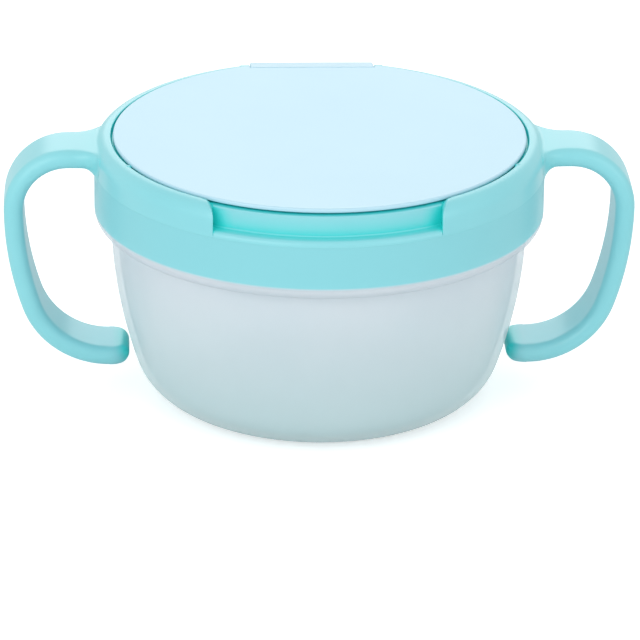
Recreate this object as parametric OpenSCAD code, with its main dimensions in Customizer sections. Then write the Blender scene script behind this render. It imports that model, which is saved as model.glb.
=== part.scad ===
// Toddler snack container: a frosted bowl, a snap-on collar moulded with two handles,
// a hinged lid and a soft insert whose flaps let a small hand in.
// Millimetres, +Z up, the origin on the table at the middle of the base.
// The front, with the thumb notch, faces -Y, and the hinge is at +Y.

/* [Bowl] */
// Outer radius of the bowl's rim wall and of the collar above it
collar_r = 58; // [54:0.5:64]
// How far the bowl's body steps in below the rim wall
shoulder_step = 4.3; // [4:0.1:5.5]
// Height of the shoulder's underside
shoulder_z = 47.8; // [44:0.2:56]
// Outer round where the shoulder turns up into the rim wall
shoulder_round = 3.2; // [2:0.1:3.4]
// Height of the rim wall above the shoulder's underside
rim_h = 14.2; // [13.8:0.1:18]
// Thickness of the rim wall
rim_wall = 1.4; // [1.2:0.1:1.8]
// Thickness of the bowl's side and floor
bowl_wall = 1.6; // [1.2:0.1:2.2]
// How much smaller the middle of the base's corner round is than the body
base_inset = 20.4; // [18:0.2:22]
// Round between the base and the side
corner_r = 14.8; // [12:0.2:16]
// Slope of the side where it leaves the corner round, in degrees
low_draft = 18.7; // [17:0.1:24]
// Width of the foot ring that the bowl stands on
foot_w = 5.3; // [3:0.1:8]
// Depth of the hollow inside the foot ring
foot_recess = 0.5; // [0.3:0.1:0.8]

/* [Collar] */
// Height of the flange that covers the bowl's rim wall
flange_h = 8; // [7.8:0.1:11]
// Round on the flange's outer top edge
flange_round = 3.4; // [2:0.1:3.6]
// Width of the flange from its outer face to the lid's bore
flange_w = 3.7; // [3.7:0.1:4.4]
// Thickness of the skirt that pushes into the rim wall
skirt_t = 1.6; // [1.2:0.1:1.8]
// Length of the skirt below the flange
skirt_drop = 11; // [9:0.1:11.6]
// Height of the snap bead on the skirt
bead_h = 0.35; // [0.2:0.05:0.45]
// Thickness of the inner wall that holds the soft insert
leg_t = 1.7; // [1.2:0.1:2]
// Length of the inner wall below the flange
leg_drop = 3.8; // [3:0.1:6]
// Width of the lip that carries the soft insert
lip_w = 2.2; // [1.6:0.1:3]
// Thickness of that lip and of the collar's upper web
lip_t = 1.5; // [1.2:0.1:2]

/* [Notch] */
// Width of the thumb notch in the front of the flange
notch_w = 56.8; // [40:0.4:66]
// Round of the notch's upper corners
notch_round = 2; // [1:0.2:3]
// Thickness of the flange that is left below the notch
notch_floor_t = 1.5; // [1.4:0.1:2.4]

/* [Lid] */
// Thickness of the lid
lid_t = 1.2; // [1:0.1:1.6]
// How far the lid's top stands above the flange
lid_proud = 0.5; // [0.3:0.1:0.8]
// Gap between the lid's edge and its bore
lid_gap = 1.2; // [1:0.1:1.4]
// Gap between the lid's underside and the ledge below it
ledge_gap = 1.3; // [1.1:0.1:1.6]
// Depth of the plug wall below the lid
plug_h = 4.5; // [2:0.1:5]
// Thickness of the plug wall
plug_t = 1.2; // [0.9:0.1:1.6]

/* [Hinge] */
// Length of the lid's hinge barrel
barrel_w = 33; // [24:0.5:36]
// Radius of the hinge barrel, whose back is level with the collar
barrel_r = 2.5; // [2.2:0.1:2.5]
// Radius of the hinge pin
pin_r = 1.2; // [0.9:0.1:1.3]
// Distance of the hinge axis below the lid's top
hinge_drop = 3.7; // [3.5:0.1:3.9]
// Length of the tab between the lid's disc and the hinge axis
tab_len = 6.5; // [6:0.1:7.5]
// Width of each ear that holds the pin
ear_w = 2.5; // [2:0.1:3.5]
// Radius of each ear's round top
ear_r = 2.1; // [1.8:0.05:2.4]

/* [Handles] */
// How far each handle stands out from the collar
handle_reach = 23.3; // [20:0.1:28]
// Thickness of a handle
handle_t = 5.2; // [4:0.1:5.6]
// Width of a handle along Y
handle_w = 17; // [12:0.5:20]
// Round of a handle's long edges
handle_round = 1.9; // [1:0.1:1.9]
// Height of the handle's top arm above the flange's underside, to its middle
arm_rise = 3.9; // [3:0.1:4.4]
// Radius of the bend where a handle turns down
top_bend_r = 14; // [10:0.5:16]
// Radius of the long gentle curve down the side
side_bend_r = 82.3; // [70:0.1:120]
// Angle that the long curve covers, in degrees
side_sweep = 18.7; // [14:0.1:20]
// Radius of the bend where a handle turns in below
low_bend_r = 21; // [16:0.1:23]
// Gap between the handle's nose and the bowl
nose_gap = 1.3; // [0.8:0.1:2]
// Round in plan where a handle grows out of the collar
root_round = 9; // [5:0.5:11]

/* [Soft insert] */
// Thickness of the insert's rim
insert_h = 2; // [1.8:0.1:3]
// Width of the insert's rim, from the inner wall to the flats of its opening
insert_w = 7; // [6:0.1:9]
// Thickness of a flap
flap_t = 1.2; // [0.8:0.1:1.4]
// Width of the slit between two flaps
slit_w = 1; // [0.7:0.1:1.6]
// Radius of the small hole between the flaps' tips
flap_hole_r = 3; // [2:0.5:8]

/* [Fits] */
// Gap between pieces that move past each other
gap = 0.3; // [0.25:0.05:0.35]
// Play all round for the pin and for pieces that are pushed together and stay
play = 0.05; // [0.02:0.01:0.1]

/* [Hidden] */

round_fn = 128;
small_fn = 48;
over = 1;
edge = 0.4;
// How much slimmer a stretch of handle is than the bends that its ends run into
hair = 0.03;
flaps = 8;

// The bowl's side is a corner arc and then one long arc up to the shoulder
body_r = collar_r - shoulder_step;
base_r = body_r - base_inset;
corner_end = [base_r + corner_r * cos(low_draft), corner_r - corner_r * sin(low_draft)];
side_run = [body_r, shoulder_z] - corner_end;
side_r = (side_run * side_run) / (2 * (side_run.y * sin(low_draft) - side_run.x * cos(low_draft)));
side_mid = corner_end - side_r * [cos(low_draft), -sin(low_draft)];

// Heights from the shoulder to the lid
shoulder_top = shoulder_z + bowl_wall;
rim_top = shoulder_z + rim_h;
flange_z = rim_top + gap;
flange_top = flange_z + flange_h;
skirt_z = flange_z - skirt_drop;
bead_z = flange_z - skirt_drop / 2;
lid_top = flange_top + lid_proud;
lid_z = lid_top - lid_t;
ledge_z = lid_z - ledge_gap;
leg_z = flange_z - leg_drop;
insert_z = leg_z + lip_t;
notch_z = flange_z + notch_floor_t;

// Radii from the outside in
channel_r = collar_r - rim_wall;
skirt_r = channel_r - gap;
skirt_in = skirt_r - skirt_t;
bore_r = collar_r - flange_w;
lid_r = bore_r - lid_gap;
leg_r = lid_r - gap - play;
leg_in = leg_r - leg_t;
plug_r = leg_in - gap;
insert_r = leg_in - 2 * play;
insert_flat = leg_in - insert_w;

// Hinge
hinge_y = collar_r - barrel_r;
hinge_z = lid_top - hinge_drop;
tab_y = hinge_y - tab_len;
slot_w = barrel_w + 2 * gap;
slot_z = hinge_z - barrel_r - gap;
tab_a = atan2(hinge_drop, -tab_len) - acos(barrel_r / norm([tab_len, hinge_drop]));

// The handle's middle line in the XZ plane, from the top bend down to the nose
limb_x = collar_r + handle_reach - handle_t / 2;
arm_z = flange_z + arm_rise;
bend_z = arm_z - top_bend_r;
low_mid = [limb_x - side_bend_r + (side_bend_r - low_bend_r) * cos(side_sweep),
           bend_z - (side_bend_r - low_bend_r) * sin(side_sweep)];
low_z = low_mid.y - low_bend_r;
nose_x = bowl_outer(low_z) + nose_gap + handle_t / 2;
root_x = bore_r + over;
root_mid = [sqrt(pow(collar_r + root_round, 2) - pow(handle_w / 2 + root_round, 2)),
            handle_w / 2 + root_round];

// Flaps
flap_a = 360 / flaps;
flap_axis = insert_flat - gap - flap_t / 2;
flap_z = insert_z + insert_h / 2;

// Points along an arc in a plane
function arc(mid, r, from, to, steps) =
    [for (i = [0:steps]) mid + r * [cos(from + (to - from) * i / steps),
                                    sin(from + (to - from) * i / steps)]];

// The bowl's outer radius at a height between the base and the shoulder
function bowl_outer(z) =
    z > corner_end.y
        ? side_mid.x + sqrt(pow(side_r, 2) - pow(z - side_mid.y, 2))
        : base_r + sqrt(pow(corner_r, 2) - pow(corner_r - z, 2));

// Half a flap's width at a distance from the middle of the insert
function flap_half(x) = x * tan(flap_a / 2) - slit_w / 2 / cos(flap_a / 2);

module bowl() {
    seam_round = bowl_wall;
    inner_side = side_r - bowl_wall;
    inner_top_a = asin((shoulder_top - side_mid.y) / inner_side);
    side_top_a = asin((shoulder_z - side_mid.y) / side_r);
    groove_r = skirt_r + bead_h + gap;
    color("#dbe6e8", 0.55)
        rotate_extrude($fn = round_fn)
            polygon(concat(
                [[0, foot_recess], [base_r - foot_w - foot_recess, foot_recess], [base_r - foot_w, 0]],
                arc([base_r, corner_r], corner_r, -90, -low_draft, 12),
                arc(side_mid, side_r, -low_draft, side_top_a, 10),
                arc([collar_r - shoulder_round, shoulder_z + shoulder_round], shoulder_round, -90, 0, 8),
                [[collar_r, rim_top], [channel_r, rim_top],
                 [channel_r, bead_z + 2 * over], [groove_r, bead_z + over],
                 [groove_r, bead_z - over], [channel_r, bead_z - 2 * over]],
                arc([channel_r - seam_round, shoulder_top + seam_round], seam_round, 0, -90, 4),
                arc(side_mid, inner_side, inner_top_a, -low_draft, 10),
                arc([base_r, corner_r], corner_r - bowl_wall, -low_draft, -90, 12),
                [[0, bowl_wall]]
            ));
}

// The collar's section, from the skirt up over the flange and down the inner wall
module collar_section() {
    catch_z = insert_z + insert_h;
    polygon(concat(
        [[skirt_in, skirt_z], [skirt_r, skirt_z],
         [skirt_r, bead_z - over], [skirt_r + bead_h, bead_z - over / 2],
         [skirt_r + bead_h, bead_z + over / 2], [skirt_r, bead_z + over],
         [skirt_r, flange_z], [collar_r, flange_z]],
        arc([collar_r - flange_round, flange_top - flange_round], flange_round, 0, 90, 10),
        [[bore_r, flange_top], [bore_r, ledge_z], [leg_in, ledge_z],
         [leg_in, catch_z + 3 * edge], [leg_in - edge, catch_z + 2 * edge],
         [leg_in - edge, catch_z + edge], [leg_in, catch_z],
         [leg_in, insert_z], [leg_in - lip_w, insert_z], [leg_in - lip_w, leg_z],
         [leg_r, leg_z], [leg_r, ledge_z - lip_t], [skirt_in, ledge_z - lip_t]]
    ));
}

// A closed stretch of the collar's hollow, behind the notch or the hinge slot
module channel_block(middle, width) {
    spread = 2 * asin((width / 2 + lip_t) / leg_r);
    rotate([0, 0, middle - spread / 2])
        rotate_extrude(angle = spread, $fn = round_fn)
            translate([leg_r - edge, flange_z])
                square([skirt_in - leg_r + 2 * edge, ledge_z - flange_z - edge]);
}

// The notch leaves the inner wall standing, and its upper corners are rounded
module notch_cut() {
    half = notch_w / 2;
    rise = flange_top - notch_z;
    difference() {
        translate([0, -leg_r / 2, notch_z])
            rotate([90, 0, 0])
                linear_extrude(collar_r)
                    polygon(concat(
                        [[-half, 0], [half, 0]],
                        arc([half + notch_round, rise - notch_round], notch_round, 180, 90, 6),
                        [[half + notch_round, rise + over], [-half - notch_round, rise + over]],
                        arc([-half - notch_round, rise - notch_round], notch_round, 90, 0, 6)
                    ));
        translate([0, 0, notch_z - over])
            cylinder(r = leg_r, h = rise + 3 * over, $fn = round_fn);
    }
}

// The slot that the lid's hinge barrel turns in
module hinge_cut() {
    difference() {
        translate([-slot_w / 2, tab_y - tab_len, slot_z])
            cube([slot_w, collar_r, flange_h]);
        translate([0, 0, slot_z - over])
            cylinder(r = leg_r, h = flange_h + 3 * over, $fn = round_fn);
    }
}

module hinge_ears() {
    for (side = [-1, 1])
        translate([side * (slot_w + ear_w) / 2, hinge_y, 0]) {
            translate([0, 0, hinge_z])
                rotate([0, 90, 0])
                    cylinder(r = ear_r, h = ear_w, center = true, $fn = small_fn);
            translate([-ear_w / 2, -ear_r, flange_z])
                cube([ear_w, 2 * ear_r, hinge_z - flange_z]);
        }
}

// Two small nubs in the lid's bore, just forward of the handles, that the lid snaps past
module lid_nubs() {
    nub_a = 24;
    nub_r = 0.9;
    for (a = [-nub_a, 180 + nub_a])
        rotate([0, 0, a])
            translate([bore_r + nub_r / 4, 0, lid_z])
                sphere(r = nub_r, $fn = small_fn);
}

// A handle's section, a rounded rectangle that is handle_t thick and handle_w wide,
// or slimmer all round by a given amount
module handle_section(slim = 0) {
    thick = handle_t - 2 * slim;
    wide = handle_w - 2 * slim;
    for (x = [-1, 1], y = [-1, 1])
        translate([x * (thick / 2 - handle_round), y * (wide / 2 - handle_round)])
            circle(r = handle_round, $fn = small_fn);
    square([thick - 2 * handle_round, wide], center = true);
    square([thick, wide - 2 * handle_round], center = true);
}

// A bend of the handle about an axis along Y, from one angle to another in the XZ plane
module handle_bend(mid, r, from, to, slim = 0) {
    translate([mid.x, 0, mid.y])
        rotate([90, 0, 0])
            rotate([0, 0, from])
                rotate_extrude(angle = to - from, $fn = round_fn)
                    translate([r, 0])
                        handle_section(slim);
}

// A straight stretch of the handle along X, whose ends lie inside its neighbours
module handle_arm(x0, x1, z) {
    lap = 0.3;
    translate([x0 - lap, 0, z])
        rotate([0, 90, 0])
            linear_extrude(x1 - x0 + 2 * lap)
                handle_section(hair);
}

// The half-round nose at the end of the lower arm
module handle_nose() {
    translate([nose_x, 0, low_z])
        rotate([90, 0, 0])
            rotate_extrude($fn = small_fn)
                intersection() {
                    handle_section();
                    translate([0, -handle_w])
                        square([handle_w, 2 * handle_w]);
                }
}

// The flared root where a handle grows out of the collar
module handle_root() {
    flare_t = handle_t - handle_round / 2;
    collar_a = atan2(root_mid.y, root_mid.x);
    side_arc = arc(root_mid, root_round, 180 + collar_a, 270, 8);
    translate([0, 0, arm_z - flare_t / 2])
        linear_extrude(flare_t)
            polygon(concat(
                [[root_x, side_arc[0].y]],
                side_arc,
                [for (i = [len(side_arc) - 1:-1:0]) [side_arc[i].x, -side_arc[i].y]],
                [[root_x, -side_arc[0].y]]
            ));
}

// The long curve also reaches a little way into the bends above and below it
module handle() {
    lap_a = 0.2;
    handle_root();
    handle_arm(root_x, limb_x - top_bend_r, arm_z);
    handle_bend([limb_x - top_bend_r, bend_z], top_bend_r, 0, 90);
    handle_bend([limb_x - side_bend_r, bend_z], side_bend_r, -side_sweep - lap_a, lap_a, hair);
    handle_bend(low_mid, low_bend_r, -90, -side_sweep);
    handle_arm(nose_x, low_mid.x, low_z);
    handle_nose();
}

module handle_ring() {
    color("#8bd7de")
        difference() {
            union() {
                rotate_extrude($fn = round_fn)
                    collar_section();
                channel_block(-90, notch_w + 2 * notch_round);
                channel_block(90, slot_w);
                hinge_ears();
                lid_nubs();
                handle();
                mirror([1, 0, 0])
                    handle();
            }
            notch_cut();
            hinge_cut();
            pin_bore(slot_w + 2 * ear_w + 2 * over);
        }
}

module pin_bore(length) {
    translate([0, hinge_y, hinge_z])
        rotate([0, 90, 0])
            cylinder(r = pin_r + play, h = length, center = true, $fn = small_fn);
}

module flap_rim() {
    color("#e6f3f4")
        difference() {
            translate([0, 0, insert_z])
                cylinder(r = insert_r, h = insert_h, $fn = round_fn);
            translate([0, 0, insert_z - over])
                rotate([0, 0, flap_a / 2])
                    cylinder(r = insert_flat / cos(flap_a / 2), h = insert_h + 2 * over, $fn = flaps);
        }
}

// One flap with the round edge that it bends about
module flap(index) {
    color("#e6f3f4")
        rotate([0, 0, index * flap_a])
            translate([0, 0, flap_z]) {
                translate([0, 0, -flap_t / 2])
                    linear_extrude(flap_t)
                        polygon([[flap_hole_r, -flap_half(flap_hole_r)],
                                 [flap_axis, -flap_half(flap_axis)],
                                 [flap_axis, flap_half(flap_axis)],
                                 [flap_hole_r, flap_half(flap_hole_r)]]);
                translate([flap_axis, 0, 0])
                    rotate([90, 0, 0])
                        cylinder(r = flap_t / 2, h = 2 * flap_half(flap_axis), center = true,
                                 $fn = small_fn);
            }
}

// The tab slopes from the disc's straight back edge down onto the hinge barrel
module lid_tab() {
    touch = [hinge_y, hinge_z] + barrel_r * [cos(tab_a), sin(tab_a)];
    under = lid_t * [cos(tab_a), sin(tab_a)];
    translate([-barrel_w / 2, 0, 0])
        rotate([90, 0, 90])
            linear_extrude(barrel_w)
                polygon([[tab_y - lid_t, lid_z], [tab_y - lid_t, lid_top], [tab_y, lid_top],
                         touch, touch - under, [tab_y, lid_top] - under]);
    translate([0, hinge_y, hinge_z])
        rotate([0, 90, 0])
            cylinder(r = barrel_r, h = barrel_w, center = true, $fn = small_fn);
}

module lid() {
    rib_t = 1;
    rib_r = leg_r - rib_t / 2;
    color("#d4f1fb")
        difference() {
            union() {
                difference() {
                    rotate_extrude($fn = round_fn)
                        polygon([[0, lid_z], [rib_r - rib_t, lid_z],
                                 [rib_r - rib_t, ledge_z + gap], [rib_r, ledge_z + gap],
                                 [rib_r, lid_z], [lid_r, lid_z], [lid_r, lid_top - edge],
                                 [lid_r - edge, lid_top], [0, lid_top]]);
                    translate([-barrel_w / 2, tab_y, ledge_z])
                        cube([barrel_w, collar_r, lid_top]);
                }
                rotate_extrude($fn = round_fn)
                    translate([plug_r - plug_t, lid_z - plug_h])
                        square([plug_t, plug_h + edge]);
                lid_tab();
            }
            pin_bore(barrel_w + 2 * over);
        }
}

module hinge_pin() {
    color("#f2f6f6")
        translate([0, hinge_y, hinge_z])
            rotate([0, 90, 0])
                cylinder(r = pin_r, h = slot_w + 2 * ear_w - 2 * gap, center = true, $fn = small_fn);
}

bowl();
handle_ring();
flap_rim();
flap(0);  // flap_1
flap(1);  // flap_2
flap(2);  // flap_3
flap(3);  // flap_4
flap(4);  // flap_5
flap(5);  // flap_6
flap(6);  // flap_7
flap(7);  // flap_8
lid();
hinge_pin();
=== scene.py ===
"""The looks of a toddler snack container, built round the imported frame.

Lengths are in metres, +Z is up, the front with the thumb notch faces -Y and the hinge is at +Y.
"""

import math

import bmesh
import bpy
from bpy.props import FloatProperty, FloatVectorProperty, PointerProperty
from mathutils import Matrix, Vector


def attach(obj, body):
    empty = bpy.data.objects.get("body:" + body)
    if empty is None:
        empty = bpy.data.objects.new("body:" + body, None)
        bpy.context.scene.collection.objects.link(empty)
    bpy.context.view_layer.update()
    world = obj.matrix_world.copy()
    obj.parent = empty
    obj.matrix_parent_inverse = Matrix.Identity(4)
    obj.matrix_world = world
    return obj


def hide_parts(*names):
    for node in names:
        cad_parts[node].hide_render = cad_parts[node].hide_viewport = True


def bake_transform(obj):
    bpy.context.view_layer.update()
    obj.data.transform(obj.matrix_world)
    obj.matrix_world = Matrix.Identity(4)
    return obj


bl_info = {
    "name": "Toddler snack container",
    "version": (1, 0, 0),
    "blender": (4, 5, 0),
    "location": "View3D > Sidebar > Snack container",
    "description": "Builds a frosted snack bowl with a two-handled collar, a hinged lid and a soft insert",
    "category": "Object",
}

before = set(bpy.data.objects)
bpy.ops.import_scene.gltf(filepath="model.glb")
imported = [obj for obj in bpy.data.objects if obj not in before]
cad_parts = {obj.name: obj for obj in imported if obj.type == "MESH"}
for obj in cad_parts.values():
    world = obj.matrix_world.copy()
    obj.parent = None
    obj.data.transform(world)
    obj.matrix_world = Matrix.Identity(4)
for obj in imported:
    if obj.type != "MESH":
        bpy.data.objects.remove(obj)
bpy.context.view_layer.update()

MM = 0.001
FLAPS = 8
FRONT = -math.pi / 2
BACK = math.pi / 2

# How far one closed shape reaches into the next, so that no two faces lie in one another
LAP = 0.03 * MM

# Round on the two edges where the collar's flange meets the bowl's rim, small to keep the seam faint
SEAM_ROUND = 0.02 * MM


def linear(hex_colour):
    """A colour written as sRGB hex, as the linear RGBA that shaders take."""
    channels = [int(hex_colour[i:i + 2], 16) / 255 for i in (1, 3, 5)]
    return [c / 12.92 if c <= 0.04045 else ((c + 0.055) / 1.055) ** 2.4 for c in channels] + [1.0]


def length(name, description, size):
    """A size that a user may change, given in millimetres."""
    return FloatProperty(name=name, description=description, default=size * MM, min=0.0,
                         unit="LENGTH", subtype="DISTANCE", precision=5)


def angle(name, description, degrees):
    """An angle that a user may change, given in degrees."""
    return FloatProperty(name=name, description=description, default=math.radians(degrees),
                         unit="ROTATION", subtype="ANGLE")


def power(name, description, watts):
    """The power of a lamp."""
    return FloatProperty(name=name, description=description, default=watts, min=0.0, unit="POWER")


def colour(name, description, hex_colour):
    """A colour that a user may change."""
    return FloatVectorProperty(name=name, description=description, subtype="COLOR", size=4,
                               min=0.0, max=1.0, default=linear(hex_colour))


class SnackBowlSizes(bpy.types.PropertyGroup):
    """Sizes of the frosted bowl."""
    rim_radius: length("Rim radius", "Outer radius of the wide rim wall", 58)
    body_radius: length("Body radius", "Outer radius just below the rim wall", 53.7)
    shoulder_height: length("Shoulder height", "Underside of the step below the rim wall", 47.8)
    shoulder_round: length("Shoulder round", "Round where the step turns up", 3.2)
    rim_height: length("Rim height", "Top of the rim wall", 62.29)
    rim_wall: length("Rim wall", "Thickness of the rim wall", 1.4)
    wall: length("Wall", "Thickness of the side and floor", 1.6)
    base_radius: length("Base radius", "Where the corner round starts on the base", 33.3)
    corner_round: length("Corner round", "Round between the base and the side", 14.8)
    low_draft: angle("Low draft", "Slope of the side above the corner round", 18.7)
    foot_width: length("Foot width", "Width of the ring that touches the table", 5.3)
    foot_hollow: length("Foot hollow", "Depth of the hollow inside the foot ring", 0.5)


class SnackRingSizes(bpy.types.PropertyGroup):
    """Sizes of the collar, which is one moulding with both handles."""
    radius: length("Radius", "Outer radius of the flange", 58)
    bore: length("Bore", "Radius of the bore round the lid", 53.7)
    bottom: length("Flange bottom", "Height of the flange's lower edge", 62.3)
    top: length("Flange top", "Height of the flange's top", 70.3)
    top_round: length("Top round", "Round on the flange's outer top edge", 4.0)
    ledge: length("Ledge", "Height of the ledge under the lid", 69.2)
    inner_wall: length("Inner wall", "Outer radius of the wall that holds the insert", 52.75)
    inner_face: length("Inner face", "Inner radius of that wall", 51.05)
    lip_radius: length("Lip radius", "Inner radius of the lip under the insert", 48.85)
    lip_bottom: length("Lip bottom", "Height of the lip's underside", 58.5)
    lip_top: length("Lip top", "Height of the lip's top", 60.0)
    skirt_bottom: length("Skirt bottom", "Lower edge of the skirt inside the bowl's rim", 51.3)
    skirt_outer: length("Skirt outside", "Outer radius of the skirt", 56.3)
    skirt_inner: length("Skirt inside", "Inner radius of the skirt", 54.7)
    inner_round: length("Inner round", "Round on the edges of the bore, the walls and the skirt", 0.3)
    notch_width: length("Notch width", "Width of the thumb notch", 56.8)
    notch_floor: length("Notch floor", "Height of the notch's floor", 63.9)
    notch_wall: length("Notch wall", "Radius of the wall behind the notch", 54.4)
    notch_round: length("Notch round", "Round on the notch's upper corners", 2.6)
    slot_width: length("Slot width", "Width of the slot for the hinge barrel", 33.6)
    slot_floor: length("Slot floor", "Height of the slot's floor", 64.3)


class SnackHandleSizes(bpy.types.PropertyGroup):
    """Sizes of the handles."""
    thickness: length("Thickness", "Thickness of a handle", 5.2)
    width: length("Width", "Width of a handle, front to back", 17)
    edge_round: length("Edge round", "Round on a handle's long edges", 2.4)
    crown: length("Crown", "How much thinner a handle is at its edges, on each face", 0.12)
    arm_height: length("Arm height", "Height of the top arm's middle line", 66.2)
    limb_distance: length("Limb distance", "Middle line of the limb from the centre", 78.7)
    top_bend: length("Top bend", "Radius of the bend above the limb", 14)
    side_bend: length("Side bend", "Radius of the limb's long curve", 82.3)
    side_sweep: angle("Side sweep", "Angle that the long curve covers", 18.7)
    low_bend: length("Low bend", "Radius of the bend below the limb", 21)
    nose_distance: length("Nose distance", "Middle of the round nose from the centre", 51.7)
    nose_round: length("Nose round", "Round of the nose in plan", 5)
    root_top_round: length("Root top round", "Round in plan where a handle's top meets the collar", 7)
    root_low_round: length("Root low round", "The same round on the underside", 4)
    root_top_fillet: length("Root top fillet", "Fillet above, up to the collar's round edge", 2.5)
    root_fillet: length("Root fillet", "Fillet below, down to the collar's side", 3.3)
    flare_dip: length("Flare dip", "How far the flare's top drops at its sides", 3.4)


class SnackLidSizes(bpy.types.PropertyGroup):
    """Sizes of the lid and its hinge."""
    radius: length("Radius", "Radius of the disc", 53.1)
    top: length("Top", "Height of the disc's top", 70.8)
    thickness: length("Thickness", "Thickness of the disc", 1.2)
    edge_round: length("Edge round", "Round on the disc's edge", 0.45)
    plug_radius: length("Plug radius", "Outer radius of the plug wall", 50.75)
    plug_depth: length("Plug depth", "Depth of the plug wall", 4.5)
    tab_width: length("Tab width", "Width of the hinge tab", 33)
    tab_start: length("Tab start", "Where the tab leaves the disc", 49)
    axis_distance: length("Axis distance", "Hinge axis from the centre", 55.5)
    axis_height: length("Axis height", "Height of the hinge axis", 67.1)
    barrel: length("Barrel radius", "Radius of the hinge barrel", 2.5)
    ear_width: length("Ear width", "Width of each ear that holds the pin", 2.5)
    ear_radius: length("Ear radius", "Radius of each ear's round top", 1.8)


class SnackInsertSizes(bpy.types.PropertyGroup):
    """Sizes of the soft insert."""
    radius: length("Radius", "Outer radius of the insert's rim", 50.95)
    opening: length("Opening", "Distance from the centre to the flats of the rim's opening", 44.05)
    bottom: length("Bottom", "Height of the rim's underside", 60.0)
    height: length("Height", "Thickness of the rim", 2.0)
    flap_thickness: length("Flap thickness", "Thickness of a flap", 1.2)
    bend_inset: length("Bend inset", "From the rim's opening to the line where a flap bends", 0.9)
    slit: length("Slit", "Width of the slit between two flaps", 1.0)
    hole: length("Hole", "Radius of the hole between the flaps' tips", 3.0)


class SnackFinish(bpy.types.PropertyGroup):
    """Colours of the mouldings."""
    bowl: colour("Bowl", "Natural frosted plastic below the rim", "#EAF2FA")
    bowl_thick: colour("Bowl, denser", "Where the melt is a little denser", "#E2EDF6")
    # Painted shade: the bowl turns darker and more cyan towards its foot
    bowl_foot_shade: colour("Bowl, foot", "Deeper tone towards the foot, where more plastic lies behind", "#D2EFF2")
    band: colour("Band", "The rim wall, which takes its colour from the skirt behind it", "#89D6DF")
    ring: colour("Ring", "Aqua of the collar and handles", "#8BD6DE")
    ring_deep: colour("Ring, deeper", "Slightly deeper streaks in the aqua", "#85D2DB")
    # Painted shade: deep teal laid into the aqua's corners and hollows, the more the more closed in they are
    ring_corner_shade: colour("Ring, corners", "Teal that the aqua turns in its corners", "#2CDCDA")
    lid: colour("Lid", "Pale cyan of the lid", "#BADFEE")
    lid_deep: colour("Lid, deeper", "Slightly deeper clouds in the lid", "#B6DCEC")
    insert: colour("Insert", "Pale soft insert", "#DFF0F1")
    insert_deep: colour("Insert, deeper", "Slightly deeper clouds in the insert", "#D2E8EA")
    pin: colour("Pin", "Natural white of the hinge pin", "#F0F3F2")
    pin_deep: colour("Pin, deeper", "Faint turning marks on the pin", "#E2E6E5")


class SnackView(bpy.types.PropertyGroup):
    """Camera and light."""
    distance: length("Distance", "Camera from the point it looks at", 1200)
    aim_height: length("Aim height", "Height of the point the camera looks at", 36)
    azimuth: angle("Azimuth", "Camera's turn about the object", -2.6)
    elevation: angle("Elevation", "Camera's height above the horizon", 22.37)
    roll: angle("Roll", "Camera's turn about its own axis", 0.72)
    lens: FloatProperty(name="Lens", description="Focal length on a 36 mm sensor", default=259.9,
                        unit="CAMERA")
    floor_size: length("Floor size", "Side of the square floor", 6000)
    air: FloatProperty(name="Air", description="Strength of the white light from all round", default=0.79)
    key_power: power("Key light", "Power of the large light from the left", 5.5)
    back_power: power("Back light", "Power of the light behind the object", 3.3)
    fill_power: power("Fill light", "Power of the light from the right", 2.1)


# Meshes: each shape is a list of points and a list of faces, and several make one piece


def arc(middle, radius, start, end, steps):
    """Points along an arc in a plane, with its angles in degrees."""
    turns = [math.radians(start + (end - start) * i / steps) for i in range(steps + 1)]
    return [(middle[0] + radius * math.cos(a), middle[1] + radius * math.sin(a)) for a in turns]


def ease(share):
    """A smooth step from 0 to 1."""
    share = max(0.0, min(1.0, share))
    return share * share * (3 - 2 * share)


def fillet_rise(across, radius):
    """How far a fillet has left its flat side, at a distance across it."""
    across = max(0.0, min(radius, across))
    return radius - math.sqrt(radius ** 2 - across ** 2)


def make_piece(name, shapes, sharp_angle=38):
    """One object from several closed shapes, smooth except at edges sharper than an angle in degrees."""
    mesh = bpy.data.meshes.new(name)
    work = bmesh.new()
    for points, faces in shapes:
        corners = [work.verts.new(p) for p in points]
        for face in faces:
            work.faces.new([corners[i] for i in face])
    bmesh.ops.recalc_face_normals(work, faces=work.faces)
    limit = math.radians(sharp_angle)
    for edge in work.edges:
        edge.smooth = edge.calc_face_angle(0.0) < limit
    for face in work.faces:
        face.smooth = True
    work.to_mesh(mesh)
    work.free()
    piece = bpy.data.objects.new(name, mesh)
    bpy.context.scene.collection.objects.link(piece)
    even = piece.modifiers.new("even_shading", "WEIGHTED_NORMAL")
    even.weight = 100
    even.keep_sharp = True
    return piece


def revolved(profile, segments=192, closed=False):
    """A profile of (radius, height) points turned about +Z. A point on the axis becomes one vertex."""
    on_axis = 1e-9
    points = []
    rings = []
    for radius, height in profile:
        if radius < on_axis:
            rings.append([len(points)] * segments)
            points.append((0.0, 0.0, height))
            continue
        rings.append([len(points) + i for i in range(segments)])
        for i in range(segments):
            a = 2 * math.pi * i / segments
            points.append((radius * math.cos(a), radius * math.sin(a), height))
    faces = []
    pairs = list(zip(rings, rings[1:]))
    if closed:
        pairs.append((rings[-1], rings[0]))
    for low, high in pairs:
        for i in range(segments):
            j = (i + 1) % segments
            face = [low[i], low[j], high[j], high[i]]
            face = [v for k, v in enumerate(face) if v != face[k - 1]]
            if len(face) > 2:
                faces.append(face)
    return points, faces


def loft(sections, closed=False):
    """A solid through equal closed sections, either closed on itself or with a flat face at each end."""
    count = len(sections[0])
    points = [p for section in sections for p in section]
    faces = []
    for s in range(len(sections) if closed else len(sections) - 1):
        here = s * count
        after = (s + 1) % len(sections) * count
        for i in range(count):
            j = (i + 1) % count
            faces.append([here + i, here + j, after + j, after + i])
    if not closed:
        faces.insert(0, list(range(count))[::-1])
        faces.append([(len(sections) - 1) * count + i for i in range(count)])
    return points, faces


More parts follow.
